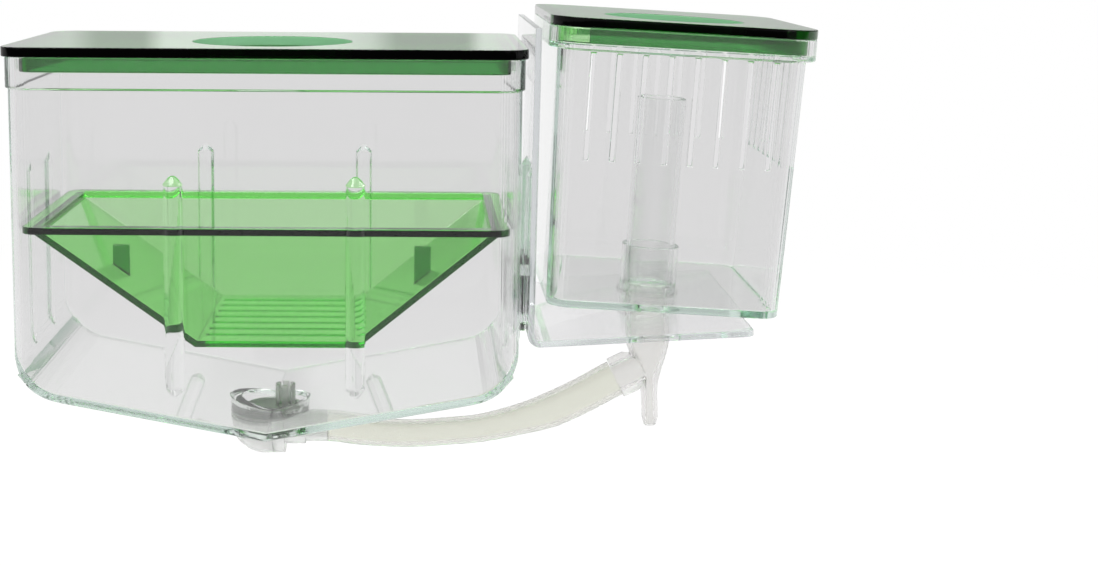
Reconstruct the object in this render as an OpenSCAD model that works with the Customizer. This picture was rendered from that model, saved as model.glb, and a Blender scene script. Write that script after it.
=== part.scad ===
// Fish breeding box: clear main box with a green lid and a green tray, and a clear side box that hangs
// beside it on a bent plate. A hose carries water from the drain to the air lift in the side box.
// Millimetres. X runs towards the side box, Y to the back, Z up. The origin is the centre of the mouth.

/* [Main box] */
// Outer width of the walls, along X
box_w = 127.2; // [110:0.2:150]
// Outer depth of the walls, along Y
box_d = 66.8; // [58:0.2:80]
// Height from the mouth to the lowest line of the floor
box_h = 96.4; // [94:0.2:115]
// Wall thickness
wall = 1.6; // [1.3:0.1:2.2]
// Radius of the upright corners
box_r = 5.6; // [4:0.2:9]
// Radius of the long edges between side walls and floor
edge_r = 14; // [10:0.5:16]
// Slope of the two halves of the floor, in degrees
floor_slope = 10.6; // [7:0.2:13]
// How far the collar stands out from the wall
collar_out = 0.7; // [0.4:0.1:1.2]
// Height of the collar
collar_h = 7.8; // [5:0.1:12]

/* [Ribs] */
// Width of an upright rib of the main box
rib_w = 4.6; // [4:0.1:6]
// How far a rib stands out
rib_out = 1.3; // [1:0.05:1.35]
// Distance of a front or back rib from the middle
rib_x = 22.5; // [15:0.5:35]
// Distance of a side rib from the middle
rib_y = 11; // [8:0.5:18]
// Depth of the ribs' upper ends below the mouth
rib_top = 29; // [15:0.5:36]
// Height of the long ribs' lower ends above the lowest line of the floor
rib_end = 11.5; // [10:0.5:25]
// Depth of the side ribs' lower ends below the start of the floor's rounded edge
side_rib_end = 4; // [0:0.2:4.6]

/* [Main lid] */
// Thickness of the lid plate
lid_t = 2.5; // [2:0.1:4]
// How far the lid stands out from the wall
lid_over = 1.4; // [1.2:0.1:3]
// Corner radius of the lid
lid_r = 6.2; // [4:0.1:10]
// Depth of the skirt below the plate
skirt_h = 3.9; // [2:0.1:6]
// Thickness of the skirt
skirt_t = 1.6; // [1:0.1:2.5]
// Gap between skirt and wall
skirt_gap = 1; // [0.3:0.1:1.5]
// Diameter of the feeding hole
lid_hole_d = 41.3; // [25:0.1:50]
// How far the hole lies in front of the middle
lid_hole_y = 5.5; // [0:0.1:8]

/* [Breeding tray] */
// Depth of the rim's top below the mouth
tray_z = 42.4; // [38:0.2:46]
// Thickness of the rim
rim_t = 1.8; // [1.2:0.1:3]
// Width of the rim
rim_w = 2.6; // [2:0.1:5]
// Gap between rim and box at the two ends
tray_gap_x = 1; // [0.5:0.1:2]
// Gap between rim and box at front and back
tray_gap_y = 0.3; // [0.3:0.05:1]
// Height of the tray
tray_h = 30.7; // [24:0.1:33]
// Thickness of the slopes and the bottom
tray_t = 1.45; // [1.1:0.05:2]
// Thickness of the front and back walls
tray_wall = 1.2; // [1:0.1:2]
// Where the left slope meets the bottom
foot_left = -18; // [-26:0.5:-12]
// Where the right slope meets the bottom
foot_right = 23; // [14:0.5:28]
// Number of slots in the bottom
tray_slots = 7; // [3:1:9]
// Width of a slot in the bottom
tray_slot_w = 1.4; // [1:0.1:2.5]
// Width of a tab on a slope
tab_w = 4.3; // [3:0.1:6]
// Distance of the tabs from the middle
tab_x = 38.8; // [34:0.1:44]
// How far the tabs lie in front of the middle
tab_y = 12.8; // [0:0.1:20]
// Depth of the tabs' tops below the rim
tab_drop = 7.4; // [4:0.1:9]

/* [Drain] */
// Place of the recess in the floor, along X
drain_x = -0.5; // [-2:0.1:2]
// Radius of the recess
recess_r = 8.5; // [7.5:0.1:10]
// Wall round the recess, below the floor
recess_wall = 1.2; // [1:0.1:2]
// Place of the drain hole, along X
hole_x = 2.5; // [1:0.1:3]
// Radius of the drain hole
hole_r = 2.4; // [1.9:0.1:2.6]
// Depth of the recess's bottom below the lowest line of the floor
recess_drop = 0.6; // [0.2:0.1:2]
// Radius of the bowl under the floor
bowl_r = 9.8; // [9:0.1:11]
// Place of the bowl, along X
bowl_x = -2.6; // [-4:0.1:-1]
// Thickness of the seal between floor and bowl
seal_t = 0.8; // [0.5:0.1:1.5]
// Depth of the outlet's axis below the bowl's seat
outlet_drop = 3; // [2.8:0.1:4]
// Radius of the outlet pipe
outlet_r = 4.4; // [4:0.1:5]
// Radius of the spigot that carries the hose
spigot_r = 3.75; // [3.4:0.05:4.2]
// Height of the strainer tube above the recess
strainer_h = 6.9; // [4:0.1:12]
// Outer radius of the strainer tube
strainer_r = 2.7; // [2.3:0.1:3.5]
// Wall of the strainer tube
strainer_wall = 1; // [0.6:0.1:1.2]
// Width of the strainer's slots
strainer_slot = 0.8; // [0.4:0.1:1.2]

/* [Bracket] */
// Thickness of the bent sheet
sheet_t = 1.6; // [1:0.1:2]
// Lean of the upright away from the main box, in degrees
sheet_lean = 0.6; // [0.3:0.1:1.5]
// Rise of the shelf, in degrees
shelf_rise = 3.4; // [2:0.1:3.5]
// Inner radius of the bend
bend_r = 1.6; // [1:0.1:4]
// Length of the shelf
shelf_l = 54.4; // [50:0.2:60]
// Radius of the shelf's free corners
shelf_r = 2; // [1:0.5:6]
// Height of the upright
upright_h = 77.1; // [60:0.1:80]
// Width of the sheet, along Y
sheet_w = 70; // [60:0.5:80]
// How far the sheet's middle lies in front of the box's middle
sheet_y = 2.8; // [0:0.1:5]
// Thickness of the spacer pads at their foot
pad_t = 1.5; // [1.4:0.1:3]
// Height of the spacer pads
pad_h = 14.3; // [8:0.1:20]
// Height of the pads' feet above the bend's inner corner
pad_up = 0.6; // [0.5:0.1:5]
// Width of a spacer pad, along Y
pad_w = 14; // [6:0.5:14]

/* [Side box] */
// Tilt of the side box, in degrees
tilt = 3; // [1:0.1:4]
// Height of its mouth above the main box's mouth
mouth_z = 6.7; // [5:0.1:9]
// How far its middle lies behind the main box's middle
mouth_y = 2.55; // [0:0.05:4]
// Distance of its collar from the bracket's upright, before the tilt
side_gap = 3.57; // [3.4:0.01:6]
// Width of the walls at the mouth
side_w = 62.1; // [54:0.1:66]
// Depth of the walls at the mouth
side_d = 68.6; // [60:0.1:76]
// Height from mouth to bottom
side_h = 70.3; // [60:0.1:71]
// Wall thickness
side_wall = 1.6; // [1.2:0.1:2]
// Draft of the walls, in degrees
side_draft = 1.4; // [0.5:0.1:2]
// Corner radius of the walls at the mouth
side_r = 7.3; // [5:0.1:10]
// How far the collar stands out from the wall
side_collar_out = 2.15; // [1.8:0.05:2.6]
// Height of the collar
side_collar_h = 5.4; // [5:0.1:8]
// Wall of the collar
side_collar_wall = 1.5; // [1:0.1:1.7]
// Number of slots along the front and the back
front_slots = 8; // [4:1:8]
// Number of slots in the right wall
end_slots = 8; // [4:1:9]
// Distance from slot to slot
slot_pitch = 6.43; // [5:0.01:6.6]
// Width of a slot
slot_w = 1.1; // [0.6:0.1:2]
// Height of a slot
slot_h = 26.5; // [15:0.5:35]
// Depth of the slots' upper ends below the mouth
slot_top = 6.2; // [6:0.1:12]

/* [Side lid] */
// Diameter of the hole in the side lid
side_hole_d = 35.5; // [20:0.1:40]
// How far that hole lies in front of the middle
side_hole_y = 10.2; // [0:0.1:12]
// Gap between skirt and collar
side_skirt_gap = 0.5; // [0.3:0.1:1]

/* [Air lift] */
// Outer radius of the standpipe
riser_r = 6.4; // [5.8:0.1:7]
// Bore radius of the standpipe
riser_bore = 5.2; // [4.5:0.1:5.3]
// Depth of the standpipe's top below the side box's mouth
riser_top = 19; // [12:0.5:30]
// Wall of the sleeve round the standpipe's foot
sleeve_wall = 1; // [0.8:0.1:1.5]
// Height of the sleeve
sleeve_h = 10.2; // [6:0.1:15]
// Radial clearance between standpipe and sleeve
riser_gap = 0.1; // [0.05:0.05:0.3]
// Radius of the ring under the side box
ring_r = 7.6; // [6.5:0.1:8]
// Thickness of that ring
ring_t = 1.6; // [1:0.1:1.7]
// Radius of the flange that stands on the shelf
flange_r = 8.2; // [7.9:0.1:9]
// Thickness of the flange
flange_t = 1.1; // [0.9:0.1:1.5]
// Outer radius of the fitting's body
tee_r = 5.9; // [5.6:0.1:6.2]
// Lean of the fitting against the upright, in degrees
tee_lean = 2.9; // [1:0.1:3.5]
// Radius of the hose branch
branch_r = 5.6; // [5.3:0.1:5.8]
// Rise of the hose branch, in degrees
branch_rise = 25.4; // [20:0.2:30]
// Outer radius of the air nozzle
nozzle_r = 2.2; // [1.9:0.05:2.6]
// Bore radius of the air nozzle
nozzle_bore = 1.1; // [0.8:0.1:1.3]

/* [Hose] */
// Greatest sag of the hose below the straight line between its ends
hose_sag = 7.6; // [6.6:0.1:9]
// Outer radius of the hose at the branch
hose_end_r = 4.9; // [4.6:0.05:5.2]

/* [Hidden] */
$fn = 64;
clear_c = [0.86, 0.88, 0.87, 0.35];
green_c = [0.25, 0.62, 0.3, 0.7];
silicone_c = [0.84, 0.84, 0.8, 0.8];
over = 1; // how far a cutting body runs past the face that it cuts
arc_steps = 12; // steps of an arc that is drawn as points
thin = 0.01; // least size of a form that runs out to nothing

// Main box, derived
in_w = box_w - 2 * wall;
in_d = box_d - 2 * wall;
in_r = box_r - wall;
apex_z = -box_h;
edge_x = box_w / 2 - edge_r;
edge_z = apex_z + edge_x * tan(floor_slope) + edge_r / cos(floor_slope);
rib_r = (pow(rib_w / 2, 2) + pow(rib_out, 2)) / (2 * rib_out);
rib_in = rib_r - rib_out; // depth of the rib's axis behind the wall's outer face
rib_sink = 0.1; // how far the ribs' tips lie under the wall's face
rib_low = box_h - rib_end;
side_rib_low = -edge_z + side_rib_end;
recess_z = apex_z - recess_drop;
recess_h = recess_drop + (recess_r + abs(drain_x)) * tan(floor_slope) + 2 * wall;
recess_out = recess_r + recess_wall;
boss_z = recess_z - wall;

// Tray, derived
rim_top = -tray_z;
rim_low = rim_top - rim_t;
tray_low = rim_top - tray_h;
tray_x = in_w / 2 - tray_gap_x - rim_w;
tray_y = in_d / 2 - tray_gap_y - rim_w;
slope_left = atan((rim_low - tray_low) / (tray_x + foot_left));
slope_right = atan((rim_low - tray_low) / (tray_x - foot_right));
tray_bottom = foot_right - foot_left;
tray_margin_x = 2; // distance of the slots' ends from the slopes
tray_margin_y = 5; // solid strip of the tray's bottom at the front and at the back
right_tab_x = tab_x + 0.4;

// Drain, derived
seat_z = boss_z - seal_t;
outlet_z = seat_z - outlet_drop;
disc_x = [-0.6, 2.5]; // left and right face of the disc on the outlet
disc_r = 6.8;
outlet_end = 8;
spigot_end = 14;
recess_gap = 0.3;
disc_t = 0.9;
slot_foot = 0.6; // height of the strainer's slots above its disc
seal_in = 0.6; // how far the seal's rim lies inside the bowl's
duct_r = hole_r - 0.1; // bore of the elbow
duct_wall = 1.3;
bowl_wall = 1.5;
bowl_cap = 1.2;
flat_over = 0.3; // how far the flat on top of the elbow runs past what lies over it
flat_end = max(outlet_end, bowl_x + bowl_r, drain_x + recess_out) + flat_over;

// Side box, derived: the centre of its mouth, and the upright's inner face at the foot
foot_x = box_w / 2 + pad_t + sheet_t;
mouth = [foot_x + side_gap + side_w / 2 + side_collar_out, mouth_y, mouth_z];
taper = 2 * side_h * tan(side_draft);
side_collar_w = side_w + 2 * side_collar_out;
side_collar_d = side_d + 2 * side_collar_out;
side_collar_r = side_r + side_collar_out;
lip_w = side_collar_w - 2 * side_collar_wall;
lip_d = side_collar_d - 2 * side_collar_wall;
lip_r = side_collar_r - side_collar_wall;
lip_h = skirt_h + 0.4; // depth of the collar's joggle, with the gap below the lid's skirt
side_floor = -side_h + side_wall;
foot_hole_r = riser_bore - 0.3; // hole in the floor, with a lip that carries the standpipe
side_fn = 32; // facets of the side box's tapered body

// Air lift, derived: the fitting's frame has its zero on the air lift's axis, below the ring
tee_drop = side_h + ring_t + 0.4;
tee_at = mouth - tee_drop * [sin(tilt), 0, cos(tilt)];
tee_bore = tee_r - 1.5;
tee_top = 4;
tee_low = -13; // where the body starts to narrow
nozzle_top = -27.2;
nozzle_low = -34;
tip_low = -36.3;
tip_in = 0.6; // how far the nozzle's tip tapers in
body_shape = [[-0.07, 1], [0.07, 0.92], [0.3, 0.68], [0.53, 0.38], [0.74, 0.14], [0.85, 0.06], [1, 0]];
bore_shape = [[0, 1], [0.35, 0.64], [0.7, 0]];
branch_l = 8.6;
branch_shape = [[0, 1], [0.53, 1], [0.74, 0.82], [1, 0.54]];
branch_out = 7.9; // how far the branch's mouth lies to the left of the fitting's zero
branch_down = 23.3;
branch_end = tee_at - [branch_out, 0, branch_down];
branch_bore = 3.2;
block = 100; // edge of a cutting block, longer than what it cuts

// Bracket, derived: the inner corner of the bend, before rounding, for a shelf that carries the flange
flange_low = side_h + ring_t + flange_t;
stand_x = mouth[0] + flange_r * cos(tilt) - flange_low * sin(tilt);
stand_z = mouth[2] - flange_r * sin(tilt) - flange_low * cos(tilt);
corner = [foot_x, stand_z - (stand_x - foot_x) * tan(shelf_rise)];
bend_run = bend_r / tan((90 - sheet_lean - shelf_rise) / 2);
shelf_hole_r = tee_r + 1.2;
pad_pitch = 2 * rib_y;
pad_low = corner[1] + pad_up;

// Hose: from the spigot to the branch. Each row is a share of the way, a share of the sag and a share
// of the hose's widening
hose_start = [spigot_end, 0, outlet_z];
hose_rows = [[0, 0, 0], [0.116, 0.355, 0], [0.283, 0.737, 0], [0.437, 0.921, 0], [0.527, 1, 0.04],
  [0.662, 0.934, 0.35], [0.775, 0.776, 0.91], [0.895, 0.408, 0.96], [1, 0, 1]];
hose_route = [for (row = hose_rows)
  hose_start + (branch_end - hose_start) * row[0] - [0, 0, hose_sag * row[1]]];
hose_radius = [for (row = hose_rows) spigot_r + (hose_end_r - spigot_r) * row[2]];
hose_first = [1, 0, 0];
hose_last = [cos(branch_rise), 0, sin(branch_rise)];
hose_sides = 12;
hose_steps = 2;

// Rounded rectangle about the origin
module slab(w, d, r) {
  square([w - 2 * r, d], center = true);
  square([w, d - 2 * r], center = true);
  for (x = [-1, 1], y = [-1, 1])
    translate([x * (w / 2 - r), y * (d / 2 - r)]) circle(r);
}

// Upright prism with rounded corners, from z0 up to z1
module prism(w, d, r, z0, z1) {
  translate([0, 0, z0]) linear_extrude(z1 - z0) slab(w, d, r);
}

// Points of an arc about c, from the angle a0 to the angle a1
function arc(c, r, a0, a1) = [for (i = [0 : arc_steps]) let (a = a0 + (a1 - a0) * i / arc_steps)
  c + r * [cos(a), sin(a)]];

// Front outline of the main box, drawn in by g, up to the height top
module box_outline(g, top) {
  r = edge_r - g;
  polygon(concat([[-box_w / 2 + g, top]], arc([-edge_x, edge_z], r, 180, 270 - floor_slope),
    [[0, apex_z + g / cos(floor_slope)]], arc([edge_x, edge_z], r, 270 + floor_slope, 360),
    [[box_w / 2 - g, top]]));
}

// Extrudes a front outline to the depth d, centred on y
module along_y(d, y = 0) {
  translate([0, y + d / 2, 0]) rotate([90, 0, 0]) linear_extrude(d) children();
}

module box_body(g, top) {
  intersection() {
    prism(box_w - 2 * g, box_d - 2 * g, box_r - g, apex_z - over, top);
    along_y(box_d + 2 * over) box_outline(g, top);
  }
}

// Upright rod with tapered ends that run out inside the wall
module tapered_rod(r, z0, z1) {
  g = rib_w / 2;
  tip_r = max(thin, r - rib_out - rib_sink);
  translate([0, 0, z0 + g]) cylinder(r = r, h = z1 - z0 - 2 * g);
  translate([0, 0, z0]) cylinder(r1 = tip_r, r2 = r, h = g);
  translate([0, 0, z1 - g]) cylinder(r1 = r, r2 = tip_r, h = g);
}

module ribs() {
  for (x = [-rib_x, rib_x], y = [-1, 1])
    translate([x, y * (box_d / 2 - rib_in), 0]) tapered_rod(rib_r, -rib_low, -rib_top);
  for (x = [-1, 1], y = [-rib_y, rib_y])
    translate([x * (box_w / 2 - rib_in), y, 0]) tapered_rod(rib_r, -side_rib_low, -rib_top);
}

// Boss under the floor about x, up to the floor's slope at the boss's rim
module boss(x, r) {
  translate([x, 0, boss_z]) cylinder(r = r, h = apex_z - boss_z + (r + abs(x)) * tan(floor_slope));
}

module main_box() {
  color(clear_c) difference() {
    union() {
      box_body(0, 0);
      prism(box_w + 2 * collar_out, box_d + 2 * collar_out, box_r + collar_out, -collar_h, 0);
      ribs();
      boss(bowl_x, bowl_r);
      boss(drain_x, recess_out);
    }
    box_body(wall, over);
    translate([drain_x, 0, recess_z]) cylinder(r = recess_r, h = recess_h);
    translate([hole_x, 0, boss_z - over]) cylinder(r = hole_r, h = wall + 2 * over);
  }
}

// Lid: plate with a skirt below and a round hole, its underside at z = 0
module lid(w, d, r, skirt_w, skirt_d, skirt_r, hole_d, hole_y) {
  difference() {
    union() {
      prism(w, d, r, 0, lid_t);
      prism(skirt_w, skirt_d, skirt_r, -skirt_h, 0);
    }
    prism(skirt_w - 2 * skirt_t, skirt_d - 2 * skirt_t, skirt_r - skirt_t, -skirt_h - over, 0);
    translate([0, -hole_y, -skirt_h]) cylinder(d = hole_d, h = skirt_h + lid_t + over);
  }
}

module main_lid() {
  color(green_c)
    lid(box_w + 2 * lid_over, box_d + 2 * lid_over, lid_r, in_w - 2 * skirt_gap, in_d - 2 * skirt_gap,
      in_r, lid_hole_d, lid_hole_y);
}

// Front outline of the tray's trough, drawn in by g, up to the height top
module trough(g, top) {
  a = slope_left;
  b = slope_right;
  polygon([[-tray_x + g / sin(a), top], [-tray_x + g / sin(a), rim_low],
    [foot_left + g * tan(a / 2), tray_low + g], [foot_right - g * tan(b / 2), tray_low + g],
    [tray_x - g / sin(b), rim_low], [tray_x - g / sin(b), top]]);
}

module tray_tab(x) {
  intersection() {
    translate([x - tab_w / 2, -tab_y - tray_t / 2, tray_low])
      cube([tab_w, tray_t, tray_h - tab_drop]);
    along_y(2 * tray_y) trough(tray_t / 4, rim_top);
  }
}

module fry_tray() {
  pitch = 2 * (tray_y - tray_margin_y) / tray_slots;
  color(green_c) union() {
    difference() {
      union() {
        prism(2 * (tray_x + rim_w), 2 * (tray_y + rim_w), in_r, rim_low, rim_top);
        along_y(2 * tray_y) trough(0, rim_top);
      }
      along_y(2 * (tray_y - tray_wall)) trough(tray_t, rim_top + over);
      for (i = [0 : tray_slots - 1])
        translate([foot_left + tray_margin_x, (i - (tray_slots - 1) / 2) * pitch - tray_slot_w / 2,
          tray_low - over])
          cube([tray_bottom - 2 * tray_margin_x, tray_slot_w, tray_t + 2 * over]);
    }
    tray_tab(-tab_x);
    tray_tab(right_tab_x);
  }
}

module drain_strainer() {
  color(clear_c) difference() {
    union() {
      translate([drain_x, 0, recess_z]) cylinder(r = recess_r - recess_gap, h = disc_t);
      translate([hole_x, 0, recess_z]) cylinder(r = strainer_r, h = strainer_h);
    }
    translate([hole_x, 0, recess_z - over])
      cylinder(r = strainer_r - strainer_wall, h = strainer_h + 2 * over);
    for (a = [0, 60, 120]) translate([hole_x, 0, recess_z + disc_t + slot_foot]) rotate(a)
      translate([-strainer_r - over, -strainer_slot / 2, 0])
        cube([2 * (strainer_r + over), strainer_slot, strainer_h]);
  }
}

module drain_seal() {
  color(silicone_c) difference() {
    translate([bowl_x, 0, seat_z]) cylinder(r = bowl_r - seal_in, h = seal_t);
    translate([hole_x, 0, seat_z - over]) cylinder(r = hole_r, h = seal_t + 2 * over);
  }
}

// Places its children on the outlet's axis at x, with +Z along the outlet
module outlet_frame(x) {
  translate([x, 0, outlet_z]) rotate([0, 90, 0]) children();
}

// Block whose lower left corner lies at x and z, and which runs past everything else
module cut_block(x, z) {
  translate([x, -block / 2, z]) cube(block);
}

module drain_elbow() {
  color(clear_c) difference() {
    union() {
      difference() {
        translate([bowl_x, 0, seat_z]) sphere(bowl_r);
        cut_block(disc_x[0], seat_z - block / 2);
      }
      outlet_frame(disc_x[0]) cylinder(r = disc_r, h = disc_x[1] - disc_x[0]);
      outlet_frame(disc_x[0]) cylinder(r = outlet_r, h = outlet_end - disc_x[0]);
      outlet_frame(disc_x[0]) cylinder(r = spigot_r, h = spigot_end - disc_x[0]);
      translate([hole_x, 0, outlet_z]) cylinder(r = duct_r + duct_wall, h = outlet_drop);
    }
    cut_block(flat_end - block, seat_z);
    translate([hole_x, 0, outlet_z]) cylinder(r = duct_r, h = outlet_drop + over);
    translate([hole_x, 0, outlet_z]) sphere(duct_r);
    outlet_frame(hole_x) cylinder(r = duct_r, h = spigot_end);
    difference() {
      translate([bowl_x, 0, seat_z]) sphere(bowl_r - bowl_wall);
      cut_block(disc_x[0] - bowl_cap, seat_z - block / 2);
      cut_block(-block / 2, seat_z - bowl_cap);
    }
  }
}

// Tangent of the hose's route at point i
function hose_dir(i) = i == 0 ? hose_first : i == len(hose_route) - 1 ? hose_last
  : (hose_route[i + 1] - hose_route[i - 1]) / norm(hose_route[i + 1] - hose_route[i - 1]);
function mix3(a, b, t) = a + (b - a) * t;
// Point and direction on the stretch from point i to the next, at t from 0 to 1
function hose_point(i, t) = let (a = hose_route[i], b = hose_route[i + 1], k = norm(b - a))
  (2 * pow(t, 3) - 3 * pow(t, 2) + 1) * a + (pow(t, 3) - 2 * pow(t, 2) + t) * k * hose_dir(i)
  + (3 * pow(t, 2) - 2 * pow(t, 3)) * b + (pow(t, 3) - pow(t, 2)) * k * hose_dir(i + 1);
function hose_ring(i, t) = let (
    e = mix3(hose_dir(i), hose_dir(i + 1), t), d = e / norm(e), s = cross([0, 1, 0], d),
    u = s / norm(s), w = cross(d, u), r = mix3(hose_radius[i], hose_radius[i + 1], t))
  [for (k = [0 : hose_sides - 1]) hose_point(i, t)
    + r * (cos(360 * k / hose_sides) * u + sin(360 * k / hose_sides) * w)];

module hose() {
  runs = len(hose_route) - 1;
  rings = concat([for (i = [0 : runs - 1], j = [0 : hose_steps - 1]) hose_ring(i, j / hose_steps)],
    [hose_ring(runs - 1, 1)]);
  n = hose_sides;
  last = (len(rings) - 1) * n;
  points = [for (ring = rings) each ring];
  side = [for (i = [0 : len(rings) - 2], k = [0 : n - 1], f = [0, 1])
    let (a = i * n + k, b = i * n + (k + 1) % n)
      f == 0 ? [a, a + n, b] : [b, a + n, b + n]];
  color(silicone_c) polyhedron(points, concat(side,
    [for (k = [1 : n - 2]) [0, k, k + 1]], [for (k = [1 : n - 2]) [last, last + k + 1, last + k]]));
}

// Places its children in the side box's frame, whose zero is the centre of the mouth
module side_frame() {
  translate(mouth) rotate([0, tilt, 0]) children();
}

module tee_frame() {
  translate(tee_at) rotate([0, -tee_lean, 0]) children();
}

// Places its children on the hose branch, with +Z along the branch into the fitting
module branch_frame() {
  translate(branch_end) rotate([0, 90 - branch_rise, 0]) children();
}

// Points on the fitting's taper: each row is a share of the way down and the share kept of wide over thin
function taper_points(rows, wide, thin) = [for (row = rows)
  [thin + (wide - thin) * row[1], tee_low + (nozzle_top - tee_low) * row[0]]];

module airlift_tee() {
  color(clear_c) difference() {
    union() {
      difference() {
        tee_frame() rotate_extrude() polygon(concat([[0, tee_top], [tee_r, tee_top]],
          taper_points(body_shape, tee_r, nozzle_r), [[nozzle_r, nozzle_low],
          [nozzle_r - tip_in, tip_low], [0, tip_low]]));
        side_frame() cut_block(-block / 2, -side_h - ring_t);
      }
      side_frame() translate([0, 0, -flange_low]) cylinder(r = flange_r, h = flange_t);
      branch_frame() rotate_extrude() polygon(concat([[0, 0]],
        [for (row = branch_shape) [branch_r * row[1], branch_l * row[0]]], [[0, branch_l]]));
    }
    tee_frame() rotate_extrude() polygon(concat([[0, tee_top], [tee_bore, tee_top]],
      taper_points(bore_shape, tee_bore, nozzle_bore), [[nozzle_bore, tip_low - over], [0, tip_low - over]]));
    branch_frame() translate([0, 0, -over]) cylinder(r = branch_bore, h = branch_l);
  }
}

module riser_ring() {
  color(silicone_c) side_frame() translate([0, 0, -side_h - ring_t]) difference() {
    cylinder(r = ring_r, h = ring_t);
    translate([0, 0, -over]) cylinder(r = foot_hole_r, h = ring_t + 2 * over);
  }
}

module riser_sleeve() {
  color(clear_c) side_frame() translate([0, 0, side_floor]) difference() {
    cylinder(r = riser_r + riser_gap + sleeve_wall, h = sleeve_h);
    translate([0, 0, -over]) cylinder(r = riser_r + riser_gap, h = sleeve_h + 2 * over);
  }
}

module riser_pipe() {
  color(clear_c) side_frame() translate([0, 0, side_floor]) difference() {
    cylinder(r = riser_r, h = -riser_top - side_floor);
    translate([0, 0, -over]) cylinder(r = riser_bore, h = side_h);
  }
}

// Tapered body of the side box, drawn in by g, from its bottom up to the mouth
module side_body(g, z0) {
  k = taper * (-z0 / side_h);
  hull() {
    prism(side_w - 2 * g, side_d - 2 * g, side_r - g, -thin, 0, $fn = side_fn);
    prism(side_w - 2 * g - k, side_d - 2 * g - k, side_r - g - k / 2, z0, z0 + thin, $fn = side_fn);
  }
}

module side_slots() {
  for (i = [0 : front_slots - 1])
    translate([(i - (front_slots - 1) / 2) * slot_pitch - slot_w / 2, -side_d, -slot_top - slot_h])
      cube([slot_w, 2 * side_d, slot_h]);
  for (i = [0 : end_slots - 1])
    translate([side_w / 4, (i - (end_slots - 1) / 2) * slot_pitch - slot_w / 2, -slot_top - slot_h])
      cube([side_w, slot_w, slot_h]);
}

module side_box() {
  color(clear_c) side_frame() difference() {
    union() {
      side_body(0, -side_h);
      prism(side_collar_w, side_collar_d, side_collar_r, -side_collar_h, 0);
    }
    side_body(side_wall, side_floor);
    prism(lip_w, lip_d, lip_r, -lip_h, over);
    side_slots();
    translate([0, 0, -side_h - over]) cylinder(r = foot_hole_r, h = side_wall + 2 * over);
  }
}

module side_lid() {
  color(green_c) side_frame()
    lid(side_collar_w, side_collar_d, side_collar_r, lip_w - 2 * side_skirt_gap, lip_d - 2 * side_skirt_gap,
      lip_r - side_skirt_gap, side_hole_d, side_hole_y);
}

// Bent sheet: the frame's zero is the inner corner, before rounding
module bracket() {
  theta = 90 - sheet_lean - shelf_rise;
  centre = [bend_r, bend_run];
  color(clear_c) difference() {
    translate([corner[0], -sheet_y, corner[1]]) union() {
      rotate([0, sheet_lean, 0]) translate([-sheet_t, -sheet_w / 2, bend_run])
        cube([sheet_t, sheet_w, upright_h - bend_run]);
      rotate([0, -shelf_rise, 0]) translate([bend_run, 0, -sheet_t]) linear_extrude(sheet_t) shelf_plan();
      rotate([0, sheet_lean, 0]) translate([centre[0], sheet_w / 2, centre[1]]) rotate([90, 0, 0])
        bend(180, theta);
    }
    translate([tee_at[0], tee_at[1], corner[1] - 2 * sheet_t])
      cylinder(r = shelf_hole_r, h = shelf_l * tan(shelf_rise) + 3 * sheet_t);
  }
}

// Outline of the flat shelf, from the bend outwards, with its free corners rounded
module shelf_plan() {
  l = shelf_l - bend_run;
  translate([0, -sheet_w / 2]) square([l - shelf_r, sheet_w]);
  translate([0, -sheet_w / 2 + shelf_r]) square([l, sheet_w - 2 * shelf_r]);
  for (y = [-1, 1]) translate([l - shelf_r, y * (sheet_w / 2 - shelf_r)]) circle(shelf_r);
}

// Bend of the sheet: a ring sector that starts at the angle a and turns by 180 - theta
module bend(a, theta) {
  reach = 4 * (bend_r + sheet_t);
  turn = 180 - theta;
  linear_extrude(sheet_w) intersection() {
    difference() {
      circle(bend_r + sheet_t);
      circle(bend_r);
    }
    polygon([[0, 0], reach * [cos(a), sin(a)], reach * [cos(a + turn / 2), sin(a + turn / 2)],
      reach * [cos(a + turn), sin(a + turn)]]);
  }
}

module spacer_pads() {
  color(clear_c) difference() {
    for (y = [-pad_pitch, 0, pad_pitch])
      translate([box_w / 2, y - pad_w / 2, pad_low])
        cube([pad_t + pad_h * tan(sheet_lean) + over, pad_w, pad_h]);
    translate([corner[0], 0, corner[1]]) rotate([0, sheet_lean, 0]) cut_block(-sheet_t, -block / 2);
  }
}

main_box();
main_lid();
fry_tray();
drain_strainer();
drain_seal();
drain_elbow();
hose();
airlift_tee();
riser_ring();
riser_sleeve();
riser_pipe();
side_box();
side_lid();
bracket();
spacer_pads();
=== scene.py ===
"""Fish breeding box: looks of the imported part, in metres, in the part's own frame."""
import math

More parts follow.
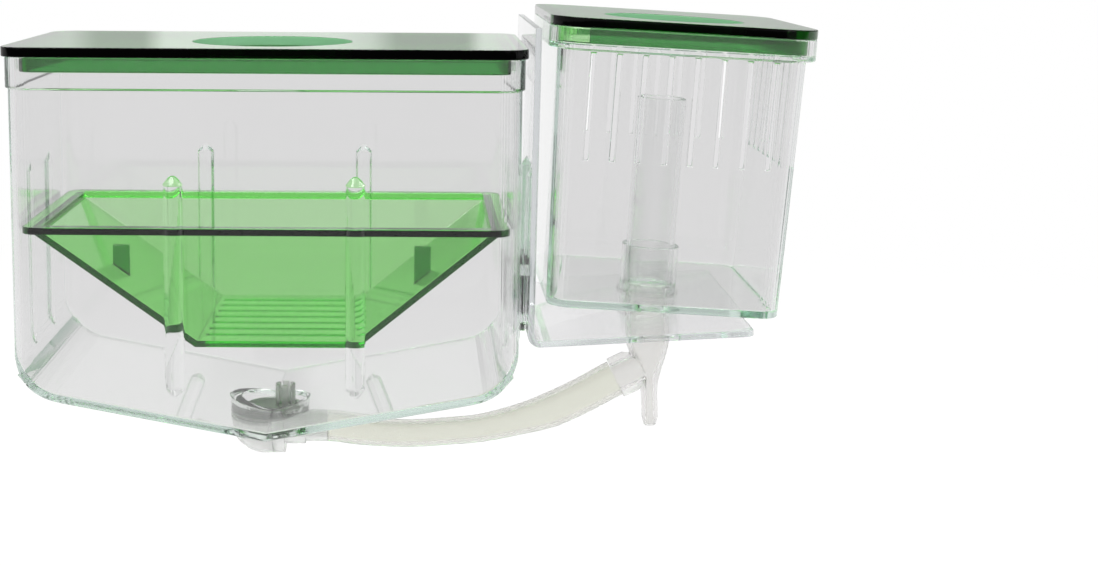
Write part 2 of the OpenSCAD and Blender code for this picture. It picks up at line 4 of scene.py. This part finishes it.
import bmesh
import bpy
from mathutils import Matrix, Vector


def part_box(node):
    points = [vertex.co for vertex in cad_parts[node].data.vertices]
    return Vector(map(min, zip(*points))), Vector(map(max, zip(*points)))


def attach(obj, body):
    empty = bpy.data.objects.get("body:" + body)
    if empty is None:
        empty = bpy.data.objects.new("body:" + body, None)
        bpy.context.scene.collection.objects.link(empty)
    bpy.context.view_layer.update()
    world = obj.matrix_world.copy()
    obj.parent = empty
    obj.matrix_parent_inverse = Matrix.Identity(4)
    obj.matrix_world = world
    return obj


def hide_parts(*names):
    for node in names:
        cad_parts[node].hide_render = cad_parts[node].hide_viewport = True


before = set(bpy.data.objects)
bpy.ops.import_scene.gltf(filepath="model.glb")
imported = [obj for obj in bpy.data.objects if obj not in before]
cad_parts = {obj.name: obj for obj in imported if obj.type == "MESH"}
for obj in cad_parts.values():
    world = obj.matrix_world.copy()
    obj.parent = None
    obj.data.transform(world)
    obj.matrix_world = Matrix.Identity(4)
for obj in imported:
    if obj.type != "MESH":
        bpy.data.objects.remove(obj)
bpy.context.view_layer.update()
MM = 0.001
X, Y, Z = range(3)
WHITE = (1, 1, 1, 1)


# ---------------------------------------------------------------- shader sums written as expressions
class Value:
    """A socket whose operators add Math nodes."""

    def __init__(self, finish, socket):
        self.finish, self.socket = finish, socket

    def sum_of(self, operation, first, second):
        return self.finish.node("ShaderNodeMath", {"operation": operation}, {0: first, 1: second})

    def __add__(self, other):
        return self.sum_of("ADD", self, other)

    def __radd__(self, other):
        return self.sum_of("ADD", other, self)

    def __sub__(self, other):
        return self.sum_of("SUBTRACT", self, other)

    def __rsub__(self, other):
        return self.sum_of("SUBTRACT", other, self)

    def __mul__(self, other):
        return self.sum_of("MULTIPLY", self, other)

    def __rmul__(self, other):
        return self.sum_of("MULTIPLY", other, self)


class Finish:
    """A material or world whose nodes are added one by one."""

    def __init__(self, owner):
        owner.use_nodes = True
        self.tree = owner.node_tree
        self.tree.nodes.clear()

    def node(self, kind, settings=None, inputs=None, out=0):
        """Adds a node: its settings first, then the values or links of its sockets."""
        made = self.tree.nodes.new(kind)
        for key, value in (settings or {}).items():
            if key == "stops":
                ramp = made.color_ramp
                while len(ramp.elements) < len(value):
                    ramp.elements.new(0.5)
                for stop, (place, colour) in zip(ramp.elements, value):
                    stop.position, stop.color = place, (*colour, 1)
            else:
                setattr(made, key, value)
        for key, value in (inputs or {}).items():
            if isinstance(value, Value):
                self.tree.links.new(value.socket, made.inputs[key])
            else:
                made.inputs[key].default_value = value
        return Value(self, made.outputs[out]) if made.outputs else None

    def own_place(self):
        """The point in the piece's own coordinates."""
        return self.node("ShaderNodeTexCoord", out=3)

    def along(self, place, axis):
        """One coordinate of a place."""
        return self.node("ShaderNodeSeparateXYZ", {}, {"Vector": place}, out=axis)

    def span(self, value, start, end, low=0, high=1, smooth=False):
        """Goes from low to high as the value goes from start to end."""
        settings = {"interpolation_type": "SMOOTHSTEP"} if smooth else {}
        return self.node("ShaderNodeMapRange", settings, {
            "Value": value, "From Min": start, "From Max": end, "To Min": low, "To Max": high})

    def mix(self, share, first, second):
        return self.node("ShaderNodeMix", {"data_type": "RGBA"}, {0: share, 6: first, 7: second}, out=2)

    def larger(self, first, second):
        return self.node("ShaderNodeMath", {"operation": "MAXIMUM"}, {0: first, 1: second})

    def noise(self, place, patches, detail, roughness):
        """Noise with this many patches to the metre."""
        return self.node("ShaderNodeTexNoise", {}, {
            "Vector": place, "Scale": patches, "Detail": detail, "Roughness": roughness})

    def stretched(self, place, scale):
        return self.node("ShaderNodeMapping", {}, {"Vector": place, "Scale": scale})


# ---------------------------------------------------------------- finishes
def rgba(red, green, blue):
    """Linear colour from three screen values up to 255."""
    def linear(v):
        v /= 255
        return v / 12.92 if v <= 0.04045 else ((v + 0.055) / 1.055) ** 2.4
    return (linear(red), linear(green), linear(blue), 1)


def dimmed(tint, share):
    """The tint with this share of its light."""
    return tuple(part * share for part in tint[:3]) + (1,)


def clear_plastic(name, tint, dense, density, gloss=0.02, ior=1.49):
    """Moulded clear plastic: faint flow waves, hairline scratches and a tint that deepens along the walls."""
    flow_patches, scratch_patches, cloud_patches = 34, 900, 16
    scratch_stretch = (1, 1, 0.06)
    scratch_height = 0.012
    wave_strength, wave_height = 0.06, 0.6 * MM
    cloud_gloss, worn_gloss = 0.02, 0.05
    worn_from, worn_to = 0.56, 0.74
    cloud_share = 0.97
    material = bpy.data.materials.new(name)
    f = Finish(material)
    place = f.own_place()
    flow = f.noise(place, flow_patches, 1.5, 0.4)
    scratches = f.noise(f.stretched(place, scratch_stretch), scratch_patches, 2, 0.6)
    clouds = f.noise(place, cloud_patches, 2.5, 0.55)
    wear = f.span(scratches, worn_from, worn_to)
    height = flow + scratch_height * scratches
    bump = f.node("ShaderNodeBump", {}, {
        "Strength": wave_strength, "Distance": wave_height, "Height": height})
    surface = f.node("ShaderNodeBsdfPrincipled", {}, {
        "Base Color": f.mix(clouds, dimmed(tint, cloud_share), tint),
        "Roughness": gloss + cloud_gloss * clouds + worn_gloss * wear,
        "IOR": ior, "Transmission Weight": 1.0, "Normal": bump})
    inside = f.node("ShaderNodeVolumeAbsorption", {}, {"Color": dense, "Density": density})
    f.node("ShaderNodeOutputMaterial", {}, {"Surface": surface, "Volume": inside})
    return material


def silicone(name, tint, cloudy, gloss):
    """Milky soft plastic: the cloudy share of it is matt, and the wall is mottled along its length."""
    streak_patches, skin_patches = 420, 1500
    streak_stretch = (0.15, 1, 1)
    skin_height, skin_gloss = 0.3, 0.1
    bump_strength, bump_height = 0.15, 0.2 * MM
    streak_share = 0.95
    ior = 1.25
    material = bpy.data.materials.new(name)
    f = Finish(material)
    place = f.own_place()
    streaks = f.noise(f.stretched(place, streak_stretch), streak_patches, 3, 0.6)
    skin = f.noise(place, skin_patches, 2, 0.5)
    height = streaks + skin_height * skin
    bump = f.node("ShaderNodeBump", {}, {
        "Strength": bump_strength, "Distance": bump_height, "Height": height})
    surface = f.node("ShaderNodeBsdfPrincipled", {}, {
        "Base Color": f.mix(streaks, dimmed(tint, streak_share), tint),
        "Roughness": gloss + skin_gloss * skin,
        "IOR": ior, "Transmission Weight": 1 - cloudy, "Normal": bump})
    f.node("ShaderNodeOutputMaterial", {}, {"Surface": surface})
    return material


# ---------------------------------------------------------------- camera
CAMERA_PLACE = (0.03727, -0.4435, 0.03101)
CAMERA_TILT = math.radians(7.707)
CAMERA_ROLL = math.radians(0.358)
CAMERA_LENS = 55.3
CAMERA_SENSOR = 36
CAMERA_SHIFT = (0.1214, -0.1126)


def aim_camera():
    """Camera at the photograph's place, which looks down by the tilt and leans by the roll."""
    ahead = Vector((0, math.cos(CAMERA_TILT), -math.sin(CAMERA_TILT)))
    above = Vector((0, math.sin(CAMERA_TILT), math.cos(CAMERA_TILT)))
    level = Vector((1, 0, 0))
    across = math.cos(CAMERA_ROLL) * level + math.sin(CAMERA_ROLL) * above
    upward = -math.sin(CAMERA_ROLL) * level + math.cos(CAMERA_ROLL) * above
    bpy.ops.object.camera_add(location=CAMERA_PLACE)
    camera = bpy.context.object
    camera.name = "view_camera"
    turn = camera.matrix_world.copy()
    for column, axis in enumerate((across, upward, -ahead)):
        for row in (X, Y, Z):
            turn[row][column] = axis[row]
    camera.matrix_world = turn
    camera.data.sensor_width = CAMERA_SENSOR
    camera.data.lens = CAMERA_LENS
    camera.data.shift_x, camera.data.shift_y = CAMERA_SHIFT
    camera.data.clip_start = 10 * MM
    bpy.context.scene.camera = camera


# ---------------------------------------------------------------- hose
HOSE_START = Vector((14, 0, -102.4)) * MM
HOSE_END = Vector((91.786, 2.55, -88.801)) * MM
HOSE_RISE = math.radians(25.4)
HOSE_WALL = 1.2 * MM
HOSE_SKIN = 0.05 * MM
HOSE_LINE_RADIUS = 3.7 * MM
# Share of the way, sag below the straight line and outer radius, both in mm
HOSE_ROWS = ((0, 0, 3.75), (0.116, 2.7, 3.75), (0.283, 5.6, 3.75), (0.437, 7, 3.75), (0.527, 7.6, 3.8),
             (0.662, 7.1, 4.15), (0.775, 5.9, 4.8), (0.895, 3.1, 4.85), (1, 0, 4.9))


def hose_route(steps=3):
    """Points and radii along the hose, on smooth stretches between the rows above."""
    straight = HOSE_END - HOSE_START
    knots = [HOSE_START + straight * share - Vector((0, 0, sag * MM)) for share, sag, _ in HOSE_ROWS]
    radii = [radius * MM for _, _, radius in HOSE_ROWS]
    way = [Vector((1, 0, 0))] + [(b - a).normalized() for a, b in zip(knots, knots[2:])]
    way.append(Vector((math.cos(HOSE_RISE), 0, math.sin(HOSE_RISE))))
    last = len(knots) - 2
    route = []
    for i in range(last + 1):
        a, b = knots[i], knots[i + 1]
        k = (b - a).length
        for step in range(steps + (i == last)):
            t = step / steps
            point = ((2 * t**3 - 3 * t**2 + 1) * a + (t**3 - 2 * t**2 + t) * k * way[i]
                     + (3 * t**2 - 2 * t**3) * b + (t**3 - t**2) * k * way[i + 1])
            route.append((point, radii[i] + (radii[i + 1] - radii[i]) * t))
    return route


def make_hose(finish):
    """Tube with a wall along the route, just inside its CAD solid."""
    route = hose_route()
    line = bpy.data.curves.new("hose_line", "CURVE")
    line.dimensions = "3D"
    spline = line.splines.new("POLY")
    spline.points.add(len(route) - 1)
    for point, (place, radius) in zip(spline.points, route):
        point.co = (*place, 1)
        point.radius = (radius - HOSE_SKIN) / HOSE_LINE_RADIUS
    line.bevel_depth = HOSE_LINE_RADIUS
    line.bevel_resolution = 10
    hose = bpy.data.objects.new("hose_tube", line)
    bpy.context.scene.collection.objects.link(hose)
    only(hose)
    bpy.ops.object.convert(target="MESH")
    wall = hose.modifiers.new("wall", "SOLIDIFY")
    wall.thickness, wall.offset, wall.use_even_offset = HOSE_WALL, -1, True
    bpy.ops.object.modifier_apply(modifier=wall.name)
    bpy.ops.object.shade_smooth_by_angle(angle=math.radians(40))
    dress(hose, finish, "base", "hose")


# ---------------------------------------------------------------- pieces
MERGE_WITHIN = 0.004 * MM
FLAT_WITHIN = math.radians(0.6)
SHARP_FROM = math.radians(30)
SMOOTH_UP_TO = math.radians(50)
WIDEST_EDGE = 2 * MM

# The main box in mm, from its middle and its mouth
WALL_EDGE = 0.3
RIB_EDGE = 0.25
FRONT_CREASE, INNER_CREASE = 0.65, 0.5
RIB_X, RIB_Y, RIB_REACH = 22.5, 11, 2.9
RIB_TOP, FRONT_RIB_END, SIDE_RIB_END = -28, -86, -78
FRONT_FACE, SIDE_FACE = 33, 63
OUTER_FACE, CREASE_DEPTH, CREASE_TOP = 33.2, 27, -74
FLOOR_LOWEST, FLOOR_SLOPE, FLOOR_BEND = -91.5, 0.187, 50


def only(piece):
    """Selects this piece alone and makes it active."""
    bpy.ops.object.select_all(action="DESELECT")
    piece.select_set(True)
    bpy.context.view_layer.objects.active = piece


def dress(piece, finish, body, node):
    """Gives a piece its finish and body, and lets it stand for its CAD node."""
    piece.data.materials.clear()
    piece.data.materials.append(finish)
    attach(piece, body)
    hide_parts(node)


def main_box_radius(place):
    """Mould radius of a sharp edge of the main box at this place, in metres."""
    x, y, z = abs(place.x) / MM, abs(place.y) / MM, place.z / MM
    on_front_rib = abs(x - RIB_X) < RIB_REACH and y > FRONT_FACE and FRONT_RIB_END < z < RIB_TOP
    on_side_rib = abs(y - RIB_Y) < RIB_REACH and x > SIDE_FACE and SIDE_RIB_END < z < RIB_TOP
    if on_front_rib or on_side_rib:
        return RIB_EDGE * MM
    floor_height = FLOOR_LOWEST + FLOOR_SLOPE * x + max(0, x - FLOOR_BEND)
    if y > CREASE_DEPTH and z < min(CREASE_TOP, floor_height):
        return (FRONT_CREASE if y > OUTER_FACE else INNER_CREASE) * MM
    return WALL_EDGE * MM


def softened_copy(node, edge, flat):
    """Copy of a CAD node, merged, with a small radius on its sharp edges as a mould gives.

    A thin clear wall is shaded flat, because blended normals make its wide curves turn light away."""
    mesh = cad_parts[node].data.copy()
    mesh.name = node + "_look"
    piece = bpy.data.objects.new(mesh.name, mesh)
    bpy.context.scene.collection.objects.link(piece)
    only(piece)
    bpy.ops.mesh.customdata_custom_splitnormals_clear()
    bpy.ops.object.mode_set(mode="EDIT")
    bpy.ops.mesh.select_all(action="SELECT")
    bpy.ops.mesh.remove_doubles(threshold=MERGE_WITHIN)
    bpy.ops.mesh.dissolve_limited(angle_limit=FLAT_WITHIN)
    bpy.ops.object.mode_set(mode="OBJECT")
    shell = bmesh.new()
    shell.from_mesh(mesh)
    share = shell.edges.layers.float.new("bevel_weight_edge")
    for line in shell.edges:
        if line.calc_face_angle(0) > SHARP_FROM:
            middle = (line.verts[0].co + line.verts[1].co) / 2
            radius = main_box_radius(middle) if node == "main_box" else edge * MM
            line[share] = radius / WIDEST_EDGE
    shell.to_mesh(mesh)
    shell.free()
    bevel = piece.modifiers.new("edge", "BEVEL")
    bevel.width, bevel.segments, bevel.limit_method = WIDEST_EDGE, 2, "WEIGHT"
    bevel.use_clamp_overlap = False
    bevel.miter_outer = "MITER_SHARP"
    bpy.ops.object.modifier_apply(modifier=bevel.name)
    if flat:
        bpy.ops.object.shade_flat()
        return piece
    bpy.ops.object.shade_smooth_by_angle(angle=SMOOTH_UP_TO)
    even = piece.modifiers.new("even", "WEIGHTED_NORMAL")
    even.keep_sharp, even.weight = True, 100
    bpy.ops.object.modifier_apply(modifier=even.name)
    return piece


def refinish(piece, finish, *zones):
    """Gives another finish to the upright faces whose centres lie between the two corners of a zone; here it
    paints shade and light onto parts of a moulding.
    """
    level_from = 0.8
    piece.data.materials.append(finish)
    number = len(piece.data.materials) - 1
    for face in piece.data.polygons:
        in_zone = any(all(low[i] <= face.center[i] <= high[i] for i in (X, Y, Z)) for low, high in zones)
        if abs(face.normal.z) < level_from and in_zone:
            face.material_index = number


def finish_tray(piece, edge_shade_finish, tab_shade_finish):
    """Painted shade: a dark rim at the front and sides, and darker tabs on the slopes."""
    rim_height, skin = 1.85 * MM, 0.4 * MM
    tab_places, tab_half = (-38.8 * MM, 39.2 * MM), 2.2 * MM
    tab_front, tab_back, tab_below_rim = -13.8 * MM, -11.8 * MM, 4 * MM
    low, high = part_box("fry_tray")
    rim = high[Z] - rim_height
    front = ((low[X], low[Y], rim), (high[X], low[Y] + skin, high[Z]))
    left = ((low[X], low[Y], rim), (low[X] + skin, high[Y], high[Z]))
    right = ((high[X] - skin, low[Y], rim), (high[X], high[Y], high[Z]))
    refinish(piece, edge_shade_finish, front, left, right)
    for x in tab_places:
        tab = ((x - tab_half, tab_front, low[Z]), (x + tab_half, tab_back, high[Z] - tab_below_rim))
        refinish(piece, tab_shade_finish, tab)


def finish_lid(piece, node, hole_reach, hole_back, edge_shade_finish, skirt_shade_finish, cut_light_finish):
    """Painted shade on the front edge and on the plug skirt, which is a deeper green, and painted light on
    the pale cut face round the hand hole.
    """
    edge_height, edge_depth = 4 * MM, 6 * MM
    skirt_height, skirt_inset = 3.8 * MM, 1 * MM
    cut_height = 5.5 * MM
    low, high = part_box(node)
    edge = ((low[X], low[Y], high[Z] - edge_height), (high[X], low[Y] + edge_depth, high[Z]))
    skirt = ((low[X], low[Y] + skirt_inset, low[Z]), (high[X], high[Y], low[Z] + skirt_height))
    reach, back = hole_reach * MM, hole_back * MM
    middle = (low[X] + high[X]) / 2
    cut = ((middle - reach, back - reach, high[Z] - cut_height), (middle + reach, back + reach, high[Z]))
    refinish(piece, edge_shade_finish, edge)
    refinish(piece, skirt_shade_finish, skirt)
    refinish(piece, cut_light_finish, cut)


# ---------------------------------------------------------------- floor, world and lamps
FLOOR_SIZE = 80
FLOOR_PLACE = (0.03, 0, -0.215)
# What light that went through the object sees of the floor, and what its front faces mirror of it
FLOOR_THROUGH = (0.815, 0.805, 0.815, 1)
FLOOR_MIRRORED = (0.12, 0.12, 0.12, 1)
ROOM_FRONT = (0.6, 0.6, 0.605, 1)
ROOM_ABOVE = (0.98, 0.98, 0.98, 1)
# Bright panels and gaps behind the object, which its lids mirror: place from left to right, and grey value
PANELS = [(place, (grey, grey, grey)) for place, grey in (
    (0.165, 0.78), (0.19, 0.52), (0.235, 0.52), (0.255, 0.95), (0.42, 0.95), (0.455, 0.82), (0.48, 0.52),
    (0.55, 0.52), (0.565, 0.95), (0.60, 0.95), (0.625, 0.6))]
PANELS_HALF_WIDTH = 0.3
# Name, place, side in metres and watts
LAMPS = (("key_lamp", (-0.55, -0.75, 0.95), 0.7, 11.0),
         ("top_lamp", (0.1, 0.1, 1.2), 0.9, 6.0),
         ("side_lamp", (0.95, -0.35, 0.55), 0.5, 4.5))
LAMP_TARGET = Vector((0.03, 0, -0.05))


def make_floor():
    """Pale paper far below, white to the camera, which keeps a faint shadow near the object."""
    front_edge = -0.6
    shadow_from, shadow_to, shadow_clean = 0.3, 0.9, 0.86
    fibre_patches = 260
    bpy.ops.object.select_all(action="DESELECT")
    bpy.ops.mesh.primitive_plane_add(size=FLOOR_SIZE, location=FLOOR_PLACE)
    floor = bpy.context.object
    floor.name = "floor"
    paper = bpy.data.materials.new("white_paper")
    f = Finish(paper)
    place = f.own_place()
    camera_ray = f.node("ShaderNodeLightPath", out="Is Camera Ray")
    mirrored_ray = f.node("ShaderNodeLightPath", out="Is Glossy Ray")
    through_ray = f.node("ShaderNodeLightPath", out="Is Transmission Ray")
    seen = f.larger(f.larger(camera_ray, mirrored_ray), through_ray)
    behind = f.span(f.along(place, Y), front_edge, 0)
    fibres = f.mix(f.noise(place, fibre_patches, 3, 0.6), dimmed(WHITE, 0.90), dimmed(WHITE, 0.95))
    matt = f.node("ShaderNodeBsdfDiffuse", {}, {"Color": fibres})
    shade = f.mix(through_ray, WHITE, FLOOR_THROUGH)
    shade = f.mix(mirrored_ray * (1 - through_ray) * (1 - behind), shade, FLOOR_MIRRORED)
    white = f.node("ShaderNodeEmission", {}, {"Color": shade, "Strength": 1.0})
    away = f.node("ShaderNodeVectorMath", {"operation": "LENGTH"}, {0: place}, out=1)
    clean = f.span(away, shadow_from, shadow_to, shadow_clean, 1)
    surface = f.node("ShaderNodeMixShader", {}, {0: clean * seen, 1: matt, 2: white})
    f.node("ShaderNodeOutputMaterial", {}, {"Surface": surface})
    floor.data.materials.append(paper)


def make_world():
    """Soft room: panels low behind the object, plain white above, dimmer towards the camera's side."""
    front_end, behind_start, height_share = -0.75, 0.25, 0.55
    panels_end, above_start = 0.12, 0.4
    world = bpy.data.worlds.new("soft_room")
    bpy.context.scene.world = world
    w = Finish(world)
    way = w.node("ShaderNodeTexCoord", out=0)
    height = w.along(way, Z)
    rear = w.span(w.along(way, Y) + height_share * height, front_end, behind_start, smooth=True)
    lift = w.span(height, panels_end, above_start, smooth=True)
    across = (w.along(way, X) + PANELS_HALF_WIDTH) * (1 / (2 * PANELS_HALF_WIDTH))
    panels = w.node("ShaderNodeValToRGB", {"stops": PANELS}, {0: across})
    room = w.mix(rear, ROOM_FRONT, w.mix(lift, panels, ROOM_ABOVE))
    camera_ray = w.node("ShaderNodeLightPath", out="Is Camera Ray")
    light = w.node("ShaderNodeBackground", {}, {"Color": w.mix(camera_ray, room, WHITE), "Strength": 1.0})
    w.node("ShaderNodeOutputWorld", {}, {"Surface": light})


def add_lamps():
    for name, place, side, watts in LAMPS:
        bpy.ops.object.light_add(type="AREA", location=place)
        lamp = bpy.context.object
        lamp.name = name
        lamp.data.shape, lamp.data.size, lamp.data.energy = "SQUARE", side, watts
        lamp.rotation_euler = (LAMP_TARGET - Vector(place)).to_track_quat("-Z", "Y").to_euler()


# ---------------------------------------------------------------- the part
aim_camera()
make_hose(silicone("silicone_hose", rgba(253, 254, 247), 0.05, 0.2))

clear_wall = clear_plastic("clear_wall", (0.965, 0.965, 0.963, 1), (0.45, 0.72, 0.60, 1), 9)
clear_sheet = clear_plastic("clear_sheet", (0.965, 0.965, 0.97, 1), (0.50, 0.62, 0.62, 1), 5)
green_moulding = clear_plastic("green_moulding", (0.95, 0.96, 0.95, 1), (0.34, 0.93, 0.16, 1), 560,
                               gloss=0.04)
# Painted shade: a near-black green for the lids' front edges and the tray's rim, which the same plastic shows
# dark from light trapped inside it
green_edge_painted_shade = clear_plastic("green_edge_painted_shade", (0.002, 0.02, 0.006, 1), (0.30, 0.924, 0.02, 1), 800,
                           gloss=0.04, ior=1.22)
# Painted shade: a darker copy of the green moulding for the lids' plug skirts and the tray's slope tabs
green_skirt_painted_shade = clear_plastic("green_skirt_painted_shade", (0.10, 0.36, 0.16, 1), (0.30, 0.924, 0.10, 1), 700, gloss=0.04)
# Painted light: a pale matt green on the cut face round the lids' hand holes, standing in for the light that
# shows there
green_cut_painted_light = silicone("green_cut_painted_light", rgba(112, 178, 126), 0.7, 0.35)
clear_fitting = clear_plastic("clear_fitting", (0.975, 0.975, 0.975, 1), (0.45, 0.7, 0.6, 1), 8, gloss=0.04)
milky_fitting = silicone("milky_fitting", rgba(250, 251, 249), 0.3, 0.16)
frosted = silicone("frosted_fitting", rgba(253, 253, 251), 0.05, 0.16)
soft_seal = silicone("soft_seal", rgba(244, 245, 242), 0.2, 0.35)

# Node, radius of its sharp edges in mm, finish, body and slot
PIECES = (("main_box", WALL_EDGE, clear_wall, "base", "clear_main"),
          ("side_box", 0.3, clear_wall, "base", "clear_side"),
          ("main_lid", 0.3, green_moulding, "lid", "green_lid"),
          ("side_lid", 0.3, green_moulding, "side_cover", "green_lid"),
          ("fry_tray", 0.25, green_moulding, "tray", "green_tray"),
          ("bracket", 0.2, clear_sheet, "base", "clear_sheet"),
          ("spacer_pads", 0.3, clear_sheet, "base", "clear_sheet"),
          ("drain_strainer", 0.15, milky_fitting, "base", "clear_fittings"),
          ("drain_elbow", 0.1, milky_fitting, "base", "clear_fittings"),
          ("drain_seal", 0.15, soft_seal, "base", "silicone_seal"),
          ("airlift_tee", 0.1, frosted, "base", "clear_tee"),
          ("riser_ring", 0.2, clear_fitting, "base", "silicone_seal"),
          ("riser_sleeve", 0.15, clear_fitting, "base", "clear_fittings"),
          ("riser_pipe", 0.2, clear_fitting, "riser", "clear_fittings"))
looks = {}
for node, edge, finish, body, slot in PIECES:
    looks[node] = softened_copy(node, edge, flat=finish in (clear_wall, clear_sheet))
    dress(looks[node], finish, body, node)
# Painted shade on the tray's rim and tabs and on the lids' edges and skirts, and painted light round the
# lids' hand holes
finish_tray(looks["fry_tray"], green_edge_painted_shade, green_skirt_painted_shade)
for node, hole_reach, hole_back in (("main_lid", 21, -5.5), ("side_lid", 18.2, -7.6)):
    finish_lid(looks[node], node, hole_reach, hole_back, green_edge_painted_shade, green_skirt_painted_shade, green_cut_painted_light)

make_floor()
make_world()
add_lamps()

scene = bpy.context.scene
scene.view_settings.view_transform = "Standard"
scene.cycles.max_bounces = 96
scene.cycles.transmission_bounces = 64
scene.cycles.glossy_bounces = 64
scene.cycles.transparent_max_bounces = 16
scene.cycles.diffuse_bounces = 4
